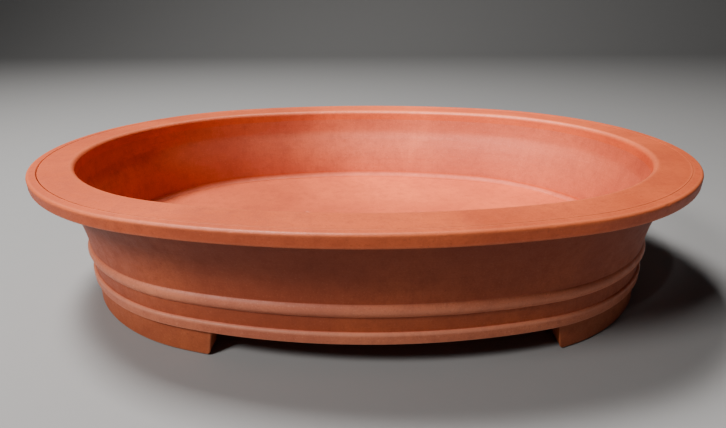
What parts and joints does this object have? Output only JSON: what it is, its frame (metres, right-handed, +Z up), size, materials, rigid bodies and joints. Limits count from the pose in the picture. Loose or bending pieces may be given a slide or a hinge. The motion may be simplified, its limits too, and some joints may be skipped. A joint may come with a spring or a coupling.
{
  "type": "oval bonsai pot",
  "caption": "Low oval bonsai pot in unglazed red-brown stoneware, with a flared neck, flat rolled rim, applied bands, drained floor and corner feet.",
  "frame": {"origin": "on the ground, at the middle of the oval plan, level with the undersides of the feet", "axes": "+X along the length of the oval, to the viewer's right; +Y away from the front; +Z up through the mouth"},
  "size_m": [0.6, 0.4, 0.131],
  "materials": {
    "wall_clay": "unglazed red-brown stoneware, fine turning lines",
    "rim_clay": "unglazed red-brown stoneware, smoothed and slightly burnished",
    "floor_clay": "unglazed red-brown stoneware, wiped smooth",
    "band_clay": "unglazed red-brown stoneware, drawn smooth with a wet profile",
    "foot_clay": "unglazed red-brown stoneware, fettled with a knife"
  },
  "bodies": {
    "root": {"wall": "wall_clay", "rim": "rim_clay", "rim_roll": "rim_clay", "floor": "floor_clay", "corner_coil": "floor_clay", "upper_band": "band_clay", "lower_band": "band_clay", "foot_front_left": "foot_clay", "foot_front_right": "foot_clay", "foot_back_left": "foot_clay", "foot_back_right": "foot_clay"}
  },
  "joints": []
}
